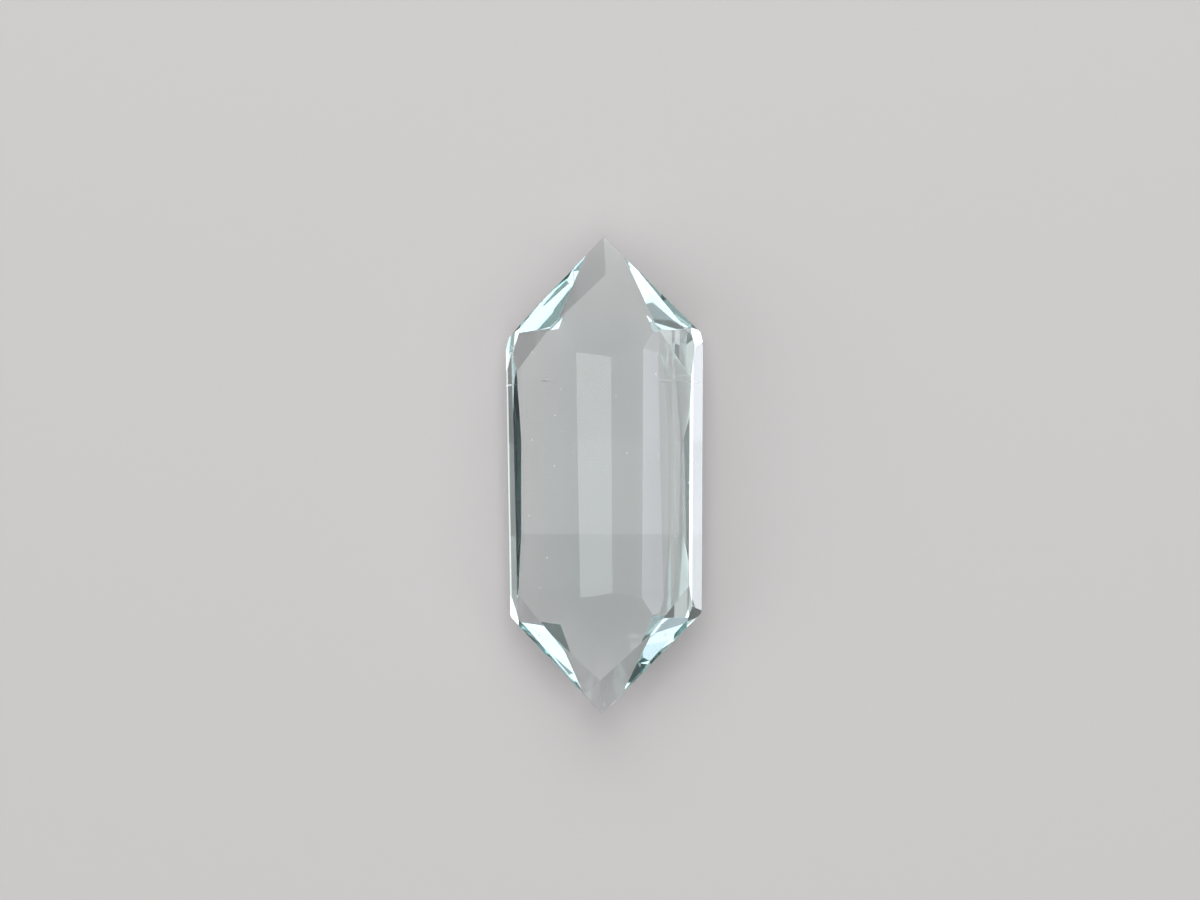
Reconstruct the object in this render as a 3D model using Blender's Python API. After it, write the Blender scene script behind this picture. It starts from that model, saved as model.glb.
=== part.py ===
"""A loose faceted green beryl: an elongated hexagon cut, lying on one facet of its pavilion.

The stone is one solid.  It is ground here the way a cutter grinds it: a block is cut by
one plane after another, and every plane is a facet.  The cutting frame has the girdle
outline in the XY plane, the long axis along Y and the table up; at the end the finished
stone is laid down on the flat facet beside its keel.
"""

import math

import bmesh
import bpy
from mathutils import Vector

STONE = "green_beryl"

# ---------------------------------------------------------------- driving dimensions
# Lengths in millimetres, angles in degrees.  North is +Y, east is +X.

MM = 0.001

# Girdle outline in plan.
GIRDLE = {
    "north tip": (0.00, 7.14),
    "north east": (2.97, 4.20),
    "south east": (2.93, -4.13),
    "south tip": (-0.05, -7.17),
    "south west": (-2.82, -4.23),
    "north west": (-2.96, 4.02),
}

# The crown's top is a shallow roof of five strips that run across the stone.  Each row is
# the place along Y where a strip begins, counted from the middle, and its fall.
CROWN_HEIGHT = 0.71
NORTH_STRIPS = ((1.05, 3.1), (2.82, 3.3))
SOUTH_STRIPS = ((-1.77, 2.3), (-3.42, 3.0))

# The top's corners, where the end facets begin.
TOP_CORNERS = {
    "north tip": (0.09, 6.00),
    "north east": (1.54, 4.56),
    "south east": (1.41, -4.79),
    "south tip": (-0.09, -6.15),
    "south west": (-1.51, -4.82),
    "north west": (-1.56, 4.44),
}
TIP_HEIGHT = {"north tip": 0.15, "south tip": 0.15}

# Small facets that break the top's four outer corners: where each meets its end facet,
# and where it runs out on the long side.
CORNER_BREAKS = {
    "north east": ((2.55, 4.25), (2.70, 2.82)),
    "south east": ((2.52, -4.41), (2.64, -3.27)),
    "south west": ((-2.52, -4.48), (-2.67, -3.42)),
    "north west": ((-2.70, 4.10), (-2.79, 2.82)),
}

# Long sides of the crown: a lens-shaped facet over a steep band.
LENS_HALF_WIDTH = 2.43
LENS_SLOPE = {"east": 12.0, "west": 38.0}
BAND_SLOPE = {"east": 63.0, "west": 66.0}

# Steep bands along the end edges: where each runs out toward the tip, how wide it is at the
# shoulder, and its slope.
END_BANDS = {
    "north east": ((1.08, 6.21), 0.26, 35.0),
    "south east": ((0.09, -7.00), 0.17, 42.0),
    "south west": ((-0.21, -7.00), 0.17, 42.0),
    "north west": ((-1.98, 5.07), 0.13, 35.0),
}

# Chamfers over the four shoulders: a point on the outline, azimuth and slope.
SHOULDER_SLOPE = 60.0
SHOULDERS = {
    "north east": ((2.94, 4.05), 20.0),
    "south east": ((2.88, -4.17), -25.0),
    "south west": ((-2.82, -4.29), 200.0),
    "north west": ((-2.95, 3.78), 160.0),
}

# Pavilion tiers of the long sides, from the girdle down: how far in from the outline each
# begins, and its slope.
SIDE_TIERS = {
    "east": ((0.0, 36.0), (0.94, 34.5), (1.84, 5.0)),
    "west": ((0.0, 33.7), (0.94, 31.2), (2.06, 4.4)),
}

# The pavilion facet under each end edge: its slope, and how far under the outline it starts.
END_SLOPES = {
    "north east": 44.0,
    "south east": 44.0,
    "south west": 44.0,
    "north west": 45.5,
}
END_GIRDLE_DROP = {"north tip": 0.09, "south tip": 0.07}

# A pair of narrow facets under each tip: how far under the tip they start, how far each is
# turned off the long axis, and the slopes of the east and the west one.
PAIR_DROP = 0.02
PAIR_TURN = {"north tip": 2.4, "south tip": 3.0}
PAIR_SLOPES = {"north tip": (23.4, 22.6), "south tip": (22.5, 22.5)}


def tan(degrees):
    return math.tan(math.radians(degrees))


def plan(point):
    return Vector((point[0], point[1]))


# ---------------------------------------------------------------- planes of the facets

def facet_by_slope(point, height, outward, slope, side):
    """The plane through a plan point at a height, falling outward at a slope; side is +1 over
    the girdle and -1 under it."""
    outward = outward.normalized()
    angle = math.radians(slope)
    normal = Vector((outward.x * math.sin(angle), outward.y * math.sin(angle), side * math.cos(angle)))
    return Vector((point.x, point.y, height)), normal


def facet_by_points(first, second, third, side):
    """The plane through three points, with its normal up for side +1 and down for side -1."""
    normal = (second - first).cross(third - first).normalized()
    if normal.z * side < 0:
        normal.negate()
    return first, normal


def azimuth(degrees):
    return Vector((math.cos(math.radians(degrees)), math.sin(math.radians(degrees))))


def outward_of(start, end):
    """The plan direction square to an edge of the outline, away from the middle."""
    along = end - start
    across = Vector((-along.y, along.x)).normalized()
    return across if across.dot(start + end) > 0 else -across


def outline_edge(first, second):
    """Where an edge of the outline starts, and its outward direction."""
    start = plan(GIRDLE[first])
    end = plan(GIRDLE[second])
    return start, outward_of(start, end)


ENDS = {
    "north east": ("north tip", "north east"),
    "south east": ("south tip", "south east"),
    "south west": ("south tip", "south west"),
    "north west": ("north tip", "north west"),
}
SIDES = {"east": ("north east", "south east"), "west": ("south west", "north west")}


# ---------------------------------------------------------------- crown

def strip_planes():
    """The flat strip in the middle of the top and the two falling strips to each side."""
    planes = [(Vector((0, 0, CROWN_HEIGHT)), Vector((0, 0, 1)))]
    for toward, (inner, outer) in ((1, NORTH_STRIPS), (-1, SOUTH_STRIPS)):
        outer_height = CROWN_HEIGHT - abs(outer[0] - inner[0]) * tan(inner[1])
        for (begin, fall), height in ((inner, CROWN_HEIGHT), (outer, outer_height)):
            planes.append(facet_by_slope(Vector((0, begin)), height, Vector((0, toward)), fall, 1))
    return planes


def height_on(plane, point):
    origin, normal = plane
    return origin.z - (normal.x * (point.x - origin.x) + normal.y * (point.y - origin.y)) / normal.z


def top_height(point):
    return min(height_on(plane, point) for plane in strip_planes())


def lifted(point, height):
    return Vector((point.x, point.y, height))


def end_band(end_facet, shoulder, outward, band):
    """The plane that leaves the end facet where the band runs out on the outline, and at the band's
    width in from the shoulder, and falls from there to the shoulder at the band's slope."""
    runs_out, width, slope = band
    runs_out = plan(runs_out)
    runs_out += outward * outward.dot(shoulder - runs_out)
    inner = shoulder - outward * width
    height = height_on(end_facet, inner)
    return facet_by_points(lifted(runs_out, height_on(end_facet, runs_out)), lifted(inner, height),
                           lifted(shoulder, height - width * tan(slope)), 1)


def end_crown_planes(end):
    """The end facet, its corner break, the band under it and the shoulder chamfer of one end edge."""
    tip_name, shoulder_name = ENDS[end]
    start, outward = outline_edge(tip_name, shoulder_name)
    tip = plan(TOP_CORNERS[tip_name])
    corner = plan(TOP_CORNERS[end])
    end_facet = facet_by_points(lifted(tip, top_height(tip)), lifted(corner, top_height(corner)),
                                lifted(start, TIP_HEIGHT[tip_name]), 1)
    on_end, on_side = (plan(point) for point in CORNER_BREAKS[end])
    corner_break = facet_by_points(lifted(corner, top_height(corner)),
                                   lifted(on_end, height_on(end_facet, on_end)),
                                   lifted(on_side, top_height(on_side)), 1)
    band = end_band(end_facet, plan(GIRDLE[shoulder_name]), outward, END_BANDS[end])
    point, bearing = SHOULDERS[end]
    chamfer = facet_by_slope(plan(point), 0.0, azimuth(bearing), SHOULDER_SLOPE, 1)
    return [end_facet, corner_break, band, chamfer]


def side_crown_planes(side):
    """The lens-shaped facet and the steep band of one long side."""
    start, outward = outline_edge(*SIDES[side])
    hinge = Vector((math.copysign(LENS_HALF_WIDTH, outward.x), 0.0))
    lens = facet_by_slope(hinge, CROWN_HEIGHT, Vector((outward.x, 0.0)), LENS_SLOPE[side], 1)
    band = facet_by_slope(start, 0.0, outward, BAND_SLOPE[side], 1)
    return [lens, band]


def crown_planes():
    planes = strip_planes()
    for end in ENDS:
        planes += end_crown_planes(end)
    for side in SIDES:
        planes += side_crown_planes(side)
    return planes


# ---------------------------------------------------------------- pavilion

def side_tiers(side):
    """Steps that run parallel to one long side of the outline, each less steep than the one above."""
    start, outward = outline_edge(*SIDES[side])
    planes = []
    height = 0.0
    inset = 0.0
    slope = 0.0
    for next_inset, next_slope in SIDE_TIERS[side]:
        height -= (next_inset - inset) * tan(slope)
        inset, slope = next_inset, next_slope
        planes.append(facet_by_slope(start - outward * inset, height, outward, slope, -1))
    return planes


def end_pavilion_plane(end):
    start, outward = outline_edge(*ENDS[end])
    return facet_by_slope(start, -END_GIRDLE_DROP[ENDS[end][0]], outward, END_SLOPES[end], -1)


def pair_planes(tip_name):
    """The two narrow facets that meet on the centre line under a tip."""
    tip = plan(GIRDLE[tip_name])
    turn = math.radians(PAIR_TURN[tip_name])
    planes = []
    for hand, slope in zip((1, -1), PAIR_SLOPES[tip_name]):
        outward = Vector((hand * math.sin(turn), math.copysign(math.cos(turn), tip.y)))
        planes.append(facet_by_slope(tip, TIP_HEIGHT[tip_name] - PAIR_DROP, outward, slope, -1))
    return planes


def pavilion_planes():
    planes = [end_pavilion_plane(end) for end in ENDS]
    for side in SIDES:
        planes += side_tiers(side)
    for tip_name in TIP_HEIGHT:
        planes += pair_planes(tip_name)
    return planes


def girdle_planes():
    """The upright wall that the outline stands for, only a hair high between crown and pavilion."""
    planes = []
    for names in list(ENDS.values()) + list(SIDES.values()):
        start, outward = outline_edge(*names)
        planes.append(facet_by_slope(start, 0.0, outward, 90.0, 1))
    return planes


# ---------------------------------------------------------------- grinding

def grind(rough, point, normal):
    """Cuts away what lies outside a plane and closes the cut with one flat face."""
    everything = rough.verts[:] + rough.edges[:] + rough.faces[:]
    cut = bmesh.ops.bisect_plane(rough, geom=everything, dist=1e-6, plane_co=point, plane_no=normal,
                                 clear_outer=True)
    rim = [piece for piece in cut["geom_cut"] if isinstance(piece, bmesh.types.BMEdge)]
    if rim:
        bmesh.ops.contextual_create(rough, geom=rim)


def cut_stone():
    """The stone in its cutting frame, in millimetres."""
    rough = bmesh.new()
    bmesh.ops.create_cube(rough, size=20.0)
    for point, normal in girdle_planes() + pavilion_planes() + crown_planes():
        grind(rough, point, normal)
    bmesh.ops.remove_doubles(rough, verts=rough.verts[:], dist=0.001)
    bmesh.ops.recalc_face_normals(rough, faces=rough.faces[:])
    return rough


def lay_down(stone):
    """Turns the lowest facet west of the keel level, and sets it on the ground under the stone's
    middle."""
    resting = side_tiers("west")[-1][1]
    level = resting.rotation_difference(Vector((0, 0, -1))).to_matrix()
    bmesh.ops.rotate(stone, cent=Vector((0, 0, 0)), matrix=level, verts=stone.verts[:])
    lows = [min(vertex.co[axis] for vertex in stone.verts) for axis in range(3)]
    highs = [max(vertex.co[axis] for vertex in stone.verts) for axis in range(3)]
    seat = Vector(((lows[0] + highs[0]) / 2, (lows[1] + highs[1]) / 2, lows[2]))
    bmesh.ops.translate(stone, vec=-seat, verts=stone.verts[:])
    bmesh.ops.scale(stone, vec=(MM, MM, MM), verts=stone.verts[:])


def beryl_material():
    """Clear, very pale blue-green beryl with a high polish."""
    material = bpy.data.materials.new("polished_beryl")
    material.use_nodes = True
    shader = material.node_tree.nodes["Principled BSDF"]
    shader.inputs["Base Color"].default_value = (0.80, 0.93, 0.90, 1.0)
    shader.inputs["Metallic"].default_value = 0.0
    shader.inputs["Roughness"].default_value = 0.02
    shader.inputs["IOR"].default_value = 1.577
    shader.inputs["Transmission Weight"].default_value = 1.0
    return material


def main():
    for old in list(bpy.data.objects):
        bpy.data.objects.remove(old, do_unlink=True)
    stone = cut_stone()
    lay_down(stone)
    mesh = bpy.data.meshes.new(STONE)
    stone.to_mesh(mesh)
    stone.free()
    mesh.materials.append(beryl_material())
    collection = bpy.data.collections.new("faceted_green_beryl")
    bpy.context.scene.collection.children.link(collection)
    collection.objects.link(bpy.data.objects.new(STONE, mesh))


main()
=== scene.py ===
# %% [markdown]
# # A faceted green beryl
#
# The object is one loose gemstone: pale blue-green beryl, cut as an elongated hexagon with a
# low, slightly domed crown and a stepped pavilion. It lies on a pale table, on one facet of
# its pavilion, and we look straight down through its top.
#
# A cut stone is the simplest solid and one of the hardest materials. It is nothing but flat
# planes, and everything we see in it is light that has been bent and thrown back by those
# planes. So the plan is: keep the planes exactly where they were cut, round the edges between
# them by the hair that polishing leaves, give the inside the bending power and faint colour of
# beryl, and then light it as a small stone is lit on a table.

# %% The cut solid
import math

import bmesh
import bpy
import numpy as np
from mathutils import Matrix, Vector


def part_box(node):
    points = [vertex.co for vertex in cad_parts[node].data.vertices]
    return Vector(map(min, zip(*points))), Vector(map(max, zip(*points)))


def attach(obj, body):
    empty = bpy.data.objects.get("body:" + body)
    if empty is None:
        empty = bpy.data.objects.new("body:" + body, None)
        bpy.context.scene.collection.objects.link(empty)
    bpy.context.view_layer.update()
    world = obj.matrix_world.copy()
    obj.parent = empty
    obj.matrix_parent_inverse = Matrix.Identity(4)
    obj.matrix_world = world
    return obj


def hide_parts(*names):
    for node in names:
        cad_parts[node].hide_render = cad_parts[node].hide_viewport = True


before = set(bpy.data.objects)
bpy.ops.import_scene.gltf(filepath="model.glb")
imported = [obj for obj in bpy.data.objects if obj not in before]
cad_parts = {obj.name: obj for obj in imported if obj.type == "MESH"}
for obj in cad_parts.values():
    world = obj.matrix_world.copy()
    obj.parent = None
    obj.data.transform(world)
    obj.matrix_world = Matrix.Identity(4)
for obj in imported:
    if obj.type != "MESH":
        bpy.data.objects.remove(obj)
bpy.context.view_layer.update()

MM = 0.001
low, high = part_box("green_beryl")
print("stone, mm:", [round(side / MM, 2) for side in high - low])

# %% [markdown]
# ## The facets
#
# The cut solid comes as loose triangles. A gem has no triangles: each facet is one flat
# polygon, and a polisher would only know those. We could draw the polygons again by hand, but
# then the stone would have two descriptions that can disagree. Instead we read the facets back
# from the solid: corners that share a place become one corner, and triangles that share a
# plane become one facet.
#
# Flat facets matter more here than in any other material. Shading them smooth would bend the
# light across them like a lens, and the window through the middle would turn to jelly.

# %% Corners and triangles as arrays
SAME_CORNER = 0.0005 * MM


def corners_of(solid):
    """Corner places and triangle corner numbers of a solid made of loose triangles.  Places are
    rounded to a grid as fine as SAME_CORNER, and equal rows of the rounded array are one corner."""
    mesh = solid.data
    places = np.empty(len(mesh.vertices) * 3)
    mesh.vertices.foreach_get("co", places)
    places = places.reshape(-1, 3)
    mesh.calc_loop_triangles()
    triangles = np.empty(len(mesh.loop_triangles) * 3, dtype=np.int64)
    mesh.loop_triangles.foreach_get("vertices", triangles)
    keys = np.round(places / SAME_CORNER).astype(np.int64)
    first, number = np.unique(keys, axis=0, return_index=True, return_inverse=True)[1:]
    return places[first], number.reshape(-1)[triangles].reshape(-1, 3)


corners, triangles = corners_of(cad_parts["green_beryl"])
print("corners:", len(corners), "triangles:", len(triangles))

# %% [markdown]
# ## Worn edges
#
# Polishing leaves each edge between two facets a little blunt, by about a hundredth of a
# millimetre. It is too small to see as a shape, but it catches light as a hairline, and a stone
# without it looks like a drawing. A Bevel modifier with a fixed width does this well: it leaves
# the facets flat and puts a narrow curved strip on every edge.

# %% The polished stone
EDGE_WEAR = 0.012 * MM
FLAT_WITHIN = math.radians(0.2)


def polished_stone(name, corners, triangles):
    """The stone as one closed mesh: triangles within FLAT_WITHIN of each other are dissolved
    into one facet, and every edge left that bends by more than a degree is blunted by EDGE_WEAR."""
    mesh = bpy.data.meshes.new(name)
    mesh.from_pydata(corners.tolist(), [], triangles.tolist())
    shape = bmesh.new()
    shape.from_mesh(mesh)
    bmesh.ops.dissolve_limit(shape, angle_limit=FLAT_WITHIN, verts=shape.verts[:], edges=shape.edges[:])
    shape.to_mesh(mesh)
    shape.free()
    stone = bpy.data.objects.new(name, mesh)
    bpy.context.scene.collection.objects.link(stone)
    wear = stone.modifiers.new("edge wear", "BEVEL")
    wear.width = EDGE_WEAR
    wear.segments = 2
    wear.limit_method = "ANGLE"
    wear.angle_limit = math.radians(1.0)
    wear.harden_normals = True
    mesh.shade_smooth()
    mesh.set_sharp_from_angle(angle=math.radians(0.5))
    return stone


stone = polished_stone("polished_beryl", corners, triangles)
print("facets:", len(stone.data.polygons))
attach(stone, "root")
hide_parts("green_beryl")

# %% [markdown]
# ## Materials as formulas
#
# A node tree is a formula drawn with wires. Written out in a script it is easier to read as a
# formula again, so a few small helpers stand for the wires: one joins two numbers, one joins
# two vectors, one turns a range of numbers softly into another, and one makes cloudy noise.
# Each gives back a socket, so they can be nested like sums on paper.

# %% Node helpers


def joined(tree, kind, operation, first, second):
    """A maths node of a kind with an operation and two inputs, each a socket or a plain value."""
    node = tree.nodes.new(kind)
    node.operation = operation
    for slot, value in enumerate((first, second)):
        if isinstance(value, bpy.types.NodeSocket):
            tree.links.new(value, node.inputs[slot])
        else:
            node.inputs[slot].default_value = value
    return node


def number(tree, operation, first, second):
    return joined(tree, "ShaderNodeMath", operation, first, second).outputs["Value"]


def vector(tree, operation, first, second):
    return joined(tree, "ShaderNodeVectorMath", operation, first, second).outputs["Vector"]


def soft_step(tree, value, start, end, first, last):
    """`first` below `start`, `last` above `end`, and between them the smooth curve 3t^2 - 2t^3."""
    node = tree.nodes.new("ShaderNodeMapRange")
    node.interpolation_type = "SMOOTHSTEP"
    ends = {"From Min": start, "From Max": end, "To Min": first, "To Max": last}
    for name, value_there in ends.items():
        node.inputs[name].default_value = value_there
    tree.links.new(value, node.inputs["Value"])
    return node.outputs["Result"]


def noise(tree, place, per_metre, detail):
    """Cloudy noise from 0 to 1 with about `per_metre` clouds in a metre."""
    node = tree.nodes.new("ShaderNodeTexNoise")
    node.inputs["Scale"].default_value = per_metre
    node.inputs["Detail"].default_value = detail
    tree.links.new(place, node.inputs["Vector"])
    return node.outputs["Fac"]


# %% [markdown]
# ## Beryl
#
# Beryl bends light by an index of 1.577, so light inside it that meets a facet at more than 39
# degrees can't leave: that is why some facets are mirrors and others are windows. The colour is
# not on the surface at all. It gathers along the light's way through the stone, as a thin
# absorption that takes red about twice as fast as green and blue.
#
# Index, clearness and absorption are plain values, the same everywhere in the crystal. What
# varies is the polish, and it shows in four small ways:
#
# - the lap leaves a faint grain, so the roughness is low but not zero;
# - no facet is perfectly flat: a slow wave, tilted by a tenth of a degree, makes the lines that
#   the facets mirror slightly uneven;
# - the edge between two crown strips near the north end is worn in short stretches, and shows
#   as a broken hairline across the stone;
# - a few specks of dust and tiny pits lie about, which show best against the dark facets.

# %% The beryl's material
BERYL_INDEX = 1.577
BERYL_TINT = (0.0, 0.52, 0.50)
BERYL_DENSITY = 46.0

GRAIN_PER_METRE = 900.0
GRAIN_ROUGHNESS = 0.03
WAVES_PER_METRE = 260.0
WAVE_HEIGHT = 0.005 * MM

HAIRLINE_Y = 2.82 * MM
HAIRLINE_HALF = 0.016 * MM
HAIRLINE_BREAKS_PER_METRE = 700.0
HAIRLINE_ROUGHNESS = 0.4

SPECKS_PER_METRE = 1600.0
SPECK_CORE = 0.030
SPECK_RIM = 0.045
SPECK_ROUGHNESS = 0.6


def hairline(tree, place):
    """One on the line y = HAIRLINE_Y where a noise along x is above its middle, else zero."""
    parts = tree.nodes.new("ShaderNodeSeparateXYZ")
    tree.links.new(place, parts.inputs["Vector"])
    away = number(tree, "ABSOLUTE", number(tree, "SUBTRACT", parts.outputs["Y"], HAIRLINE_Y), 0.0)
    on_line = soft_step(tree, away, 0.5 * HAIRLINE_HALF, HAIRLINE_HALF, 1.0, 0.0)
    along = vector(tree, "MULTIPLY", place, (1.0, 0.0, 0.0))
    breaks = noise(tree, along, HAIRLINE_BREAKS_PER_METRE, 2.0)
    worn = soft_step(tree, breaks, 0.50, 0.55, 0.0, 1.0)
    return number(tree, "MULTIPLY", on_line, worn)


def specks(tree, place):
    """One within SPECK_CORE of a cell's point and zero past SPECK_RIM, both as parts of a cell.
    The points fill space, so a speck shows only where the surface passes close to one."""
    cells = tree.nodes.new("ShaderNodeTexVoronoi")
    cells.inputs["Scale"].default_value = SPECKS_PER_METRE
    tree.links.new(place, cells.inputs["Vector"])
    return soft_step(tree, cells.outputs["Distance"], SPECK_CORE, SPECK_RIM, 1.0, 0.0)


def polish(tree, place):
    """Roughness: the greatest of the lap's grain, the worn hairline and the specks."""
    grain = number(tree, "MULTIPLY", noise(tree, place, GRAIN_PER_METRE, 3.0), GRAIN_ROUGHNESS)
    line = number(tree, "MULTIPLY", hairline(tree, place), HAIRLINE_ROUGHNESS)
    dots = number(tree, "MULTIPLY", specks(tree, place), SPECK_ROUGHNESS)
    return number(tree, "MAXIMUM", grain, number(tree, "MAXIMUM", line, dots))


def beryl_material():
    material = bpy.data.materials.new("beryl")
    material.use_nodes = True
    tree = material.node_tree
    shader = tree.nodes["Principled BSDF"]
    shader.inputs["Base Color"].default_value = (1.0, 1.0, 1.0, 1.0)
    shader.inputs["IOR"].default_value = BERYL_INDEX
    shader.inputs["Transmission Weight"].default_value = 1.0
    place = tree.nodes.new("ShaderNodeTexCoord").outputs["Object"]
    tree.links.new(polish(tree, place), shader.inputs["Roughness"])
    wave = tree.nodes.new("ShaderNodeBump")
    wave.inputs["Distance"].default_value = WAVE_HEIGHT
    tree.links.new(noise(tree, place, WAVES_PER_METRE, 1.0), wave.inputs["Height"])
    tree.links.new(wave.outputs["Normal"], shader.inputs["Normal"])
    depth = tree.nodes.new("ShaderNodeVolumeAbsorption")
    depth.inputs["Color"].default_value = (*BERYL_TINT, 1.0)
    depth.inputs["Density"].default_value = BERYL_DENSITY
    tree.links.new(depth.outputs["Volume"], tree.nodes["Material Output"].inputs["Volume"])
    return material


stone.data.materials.append(beryl_material())
print("nodes in the beryl:", len(stone.data.materials[0].node_tree.nodes))

# %% [markdown]
# ## The table top
#
# A small clear stone shows best on a sheet of pale card, because most of what we see in it is
# the card behind. The floor is a surface of two parameters, a radius and an angle: flat, and
# wide enough that a low camera doesn't see its rim. It lies a hair under the stone, so that the
# two faces never share a plane.

# %% The floor
FLOOR_RADIUS = 0.30
FLOOR_GAP = 0.002 * MM
FLOOR_COLOUR = (0.474, 0.472, 0.466)
FLOOR_ROUGHNESS = 0.9
FLOOR_SPECULAR = 0.2


def floor_disc(rings=24, spokes=96):
    """Points at radius r and angle a: x = r cos a, y = r sin a, z = FLOOR_GAP below zero.  The
    radius grows with the square of its step, so the rings are finest near the stone."""
    radius = FLOOR_RADIUS * np.linspace(0.02, 1.0, rings) ** 2
    angle = np.linspace(0.0, 2.0 * math.pi, spokes, endpoint=False)
    r, a = np.meshgrid(radius, angle, indexing="ij")
    return np.stack([r * np.cos(a), r * np.sin(a), np.full_like(r, -FLOOR_GAP)], axis=-1)


def closed_ring_mesh(name, points):
    """Quads between the rings of points, and one polygon that closes the middle."""
    rings, spokes = points.shape[:2]
    ring = np.arange(rings * spokes).reshape(rings, spokes)
    turned = np.roll(ring, -1, axis=1)
    quads = np.stack([ring[:-1], ring[1:], turned[1:], turned[:-1]], axis=-1).reshape(-1, 4)
    mesh = bpy.data.meshes.new(name)
    mesh.from_pydata(points.reshape(-1, 3).tolist(), [], quads.tolist() + [ring[0].tolist()])
    return mesh


def floor_material():
    material = bpy.data.materials.new("pale card")
    material.use_nodes = True
    shader = material.node_tree.nodes["Principled BSDF"]
    shader.inputs["Base Color"].default_value = (*FLOOR_COLOUR, 1.0)
    shader.inputs["Roughness"].default_value = FLOOR_ROUGHNESS
    shader.inputs["Specular IOR Level"].default_value = FLOOR_SPECULAR
    return material


floor = bpy.data.objects.new("floor", closed_ring_mesh("floor", floor_disc()))
bpy.context.scene.collection.objects.link(floor)
floor.data.materials.append(floor_material())
print("floor faces:", len(floor.data.polygons))

# %% [markdown]
# ## Light
#
# A cut stone has almost no look of its own. Each facet shows one patch of the room, by way of
# two or three mirrors inside the stone, so a stone lit by an even white sky is a grey ghost.
# What makes it live is contrast, and where each patch has to be can be followed backwards
# through the stone:
#
# - the floor under the stone, which we see through the big window, is lit from high up;
# - the four bright end facets look out low to the west and at middle height to the east;
# - the dark lens along the left side looks out near the eastern horizon and just east of
#   straight up, and the blunted corner above it looks out high to the south-west, so in those
#   places the room stays dark.
#
# We could hang cards and boxes around the stone, but a room is soft and far away, so its
# brightness can be written down as a sum of soft patches of sky: each has a direction, a
# width over which it fades, a strength and a colour. A negative strength is a dark patch.

# %% The room
ROOM = 0.13
DARKEST = (0.02, 0.02, 0.02)
WHITE = (1.0, 1.0, 0.99)
DAYLIGHT = (1.14, 1.0, 1.12)
WARM = (1.04, 0.99, 0.95)
PATCHES = (
    # name, azimuth, elevation, full within, gone at, strength, colour
    ("high north softbox", 90.0, 72.0, 8.0, 28.0, 3.2, WHITE),
    ("high south softbox", -90.0, 72.0, 8.0, 28.0, 2.6, WHITE),
    ("high west wall", 180.0, 64.0, 5.0, 18.0, 0.30, WARM),
    ("west window", 192.0, 34.0, 14.0, 34.0, 1.75, DAYLIGHT),
    ("east card", 342.0, 41.0, 8.0, 21.0, 1.75, DAYLIGHT),
    ("dark east side", 0.0, 8.0, 12.0, 30.0, -0.5, WHITE),
    ("dark overhead", 0.0, 82.0, 4.0, 14.0, -0.9, WHITE),
    ("dark corner", 215.0, 69.0, 4.0, 15.0, -1.1, WHITE),
)


def toward(azimuth, elevation):
    """The direction with an azimuth from east and an elevation, in degrees."""
    a = math.radians(azimuth)
    e = math.radians(elevation)
    return (math.cos(a) * math.cos(e), math.sin(a) * math.cos(e), math.sin(e))


def patch_of_sky(tree, direction, name, azimuth, elevation, full, gone, strength, colour):
    """The colour times the strength within `full` degrees of the patch's middle, fading softly to
    nothing at `gone` degrees: a soft step in the cosine of the angle between the directions."""
    middle = joined(tree, "ShaderNodeVectorMath", "DOT_PRODUCT", direction, toward(azimuth, elevation))
    edges = (math.cos(math.radians(gone)), math.cos(math.radians(full)))
    fade = soft_step(tree, middle.outputs["Value"], *edges, 0.0, strength)
    fade.node.label = name
    return vector(tree, "MULTIPLY", fade, colour)


def soft_room():
    """The room's even brightness plus every patch of sky, and nowhere less than DARKEST."""
    world = bpy.data.worlds.new("studio")
    world.use_nodes = True
    tree = world.node_tree
    direction = tree.nodes.new("ShaderNodeTexCoord").outputs["Generated"]
    total = tuple(ROOM * channel for channel in WHITE)
    for patch in PATCHES:
        total = vector(tree, "ADD", total, patch_of_sky(tree, direction, *patch))
    total = vector(tree, "MAXIMUM", total, DARKEST)
    tree.links.new(total, tree.nodes["Background"].inputs["Color"])
    bpy.context.scene.world = world


soft_room()
print("patches of sky:", len(PATCHES))

# %% [markdown]
# Two real lamps stand beyond the stone's north end, a small softbox close by and a window far
# off. A patch of sky is as bright over the whole table, but a near lamp falls off with distance,
# so it lets the table grow a little darker toward us.

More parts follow.
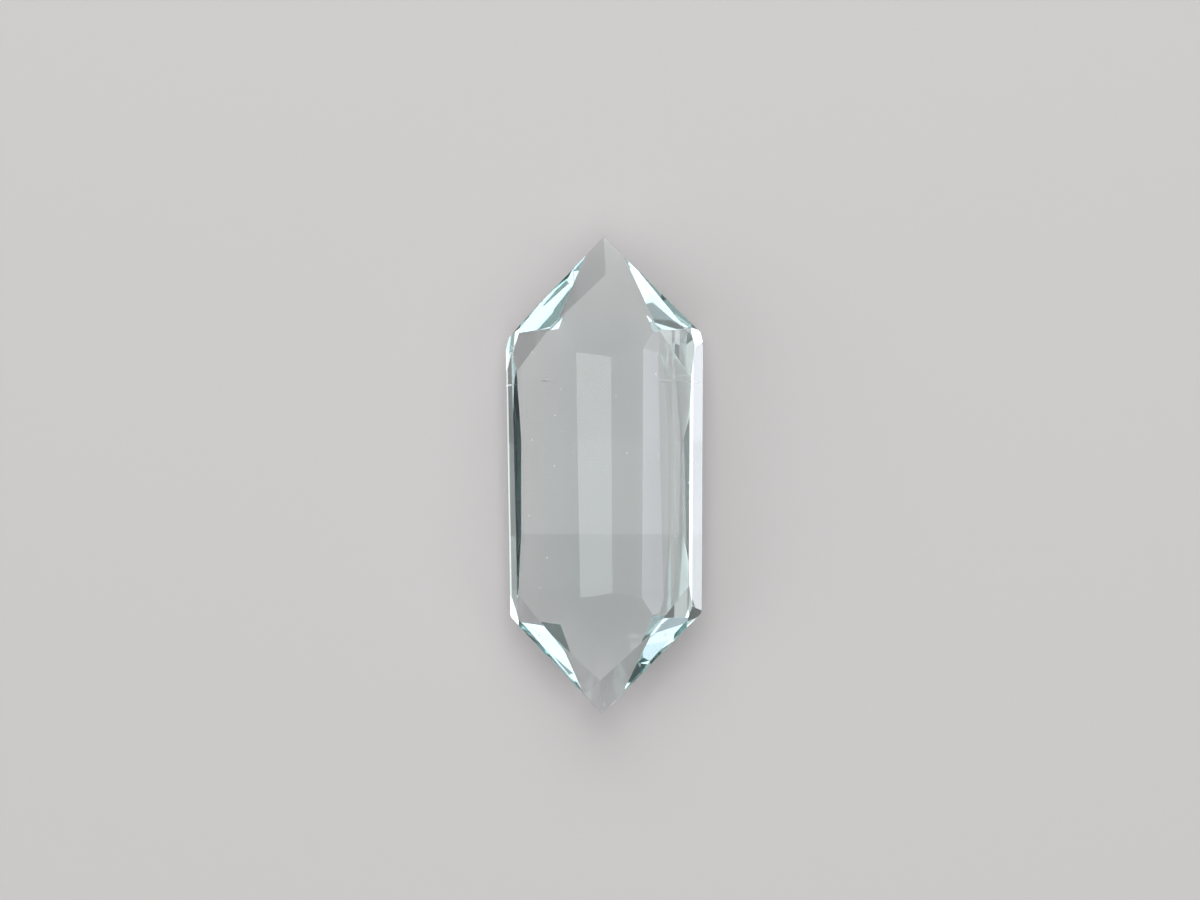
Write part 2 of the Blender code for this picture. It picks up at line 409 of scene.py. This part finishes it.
# %% The two lamps
SOFTBOX = {"place": (0.0, 0.055, 0.076), "size": (0.09, 0.045), "power": 0.009}
FAR_WINDOW = {"place": (0.0, 0.25, 0.16), "size": (0.30, 0.14), "power": 0.30}


def lamp_toward_stone(name, place, size, power):
    """A flat rectangular lamp, turned so that it faces the middle of the stone's underside."""
    light = bpy.data.lights.new(name, "AREA")
    light.shape = "RECTANGLE"
    light.size, light.size_y = size
    light.energy = power
    lamp = bpy.data.objects.new(name, light)
    lamp.location = place
    lamp.rotation_euler = (-Vector(place)).to_track_quat("-Z", "Y").to_euler()
    bpy.context.scene.collection.objects.link(lamp)


lamp_toward_stone("north softbox", **SOFTBOX)
lamp_toward_stone("far window", **FAR_WINDOW)

# %% [markdown]
# ## The camera
#
# It looks straight down from a quarter of a metre, with a long lens, so the long sides of the
# hexagon stay parallel. The lens follows from how wide a field we want to see at that distance.

# %% The camera
FIELD_WIDTH = 36.0 * MM
CAMERA_HEIGHT = 243.0 * MM
CAMERA_OVER = (-0.13 * MM, 0.76 * MM)
SENSOR = 36.0
NEAR_CLIP = 0.01
FAR_CLIP = 2.0


def overhead_camera():
    lens = bpy.data.cameras.new("camera")
    lens.sensor_width = SENSOR
    lens.lens = SENSOR * CAMERA_HEIGHT / FIELD_WIDTH
    lens.clip_start = NEAR_CLIP
    lens.clip_end = FAR_CLIP
    camera = bpy.data.objects.new("camera", lens)
    camera.location = (*CAMERA_OVER, CAMERA_HEIGHT + (high.z - low.z) / 2)
    bpy.context.scene.collection.objects.link(camera)
    bpy.context.scene.camera = camera
    print("lens, mm:", round(lens.lens))


overhead_camera()
bpy.context.scene.view_settings.view_transform = "Standard"

# %% [markdown]
# Light is thrown about inside a cut stone many times before it gets out.  Blender gives up on
# a reflection after four turns by default, and every path it gives up on is drawn black, so a
# gem needs a larger allowance.

# %% Bounces
INSIDE_BOUNCES = 32
light_paths = bpy.context.scene.cycles
light_paths.max_bounces = INSIDE_BOUNCES
light_paths.glossy_bounces = INSIDE_BOUNCES
light_paths.transmission_bounces = INSIDE_BOUNCES
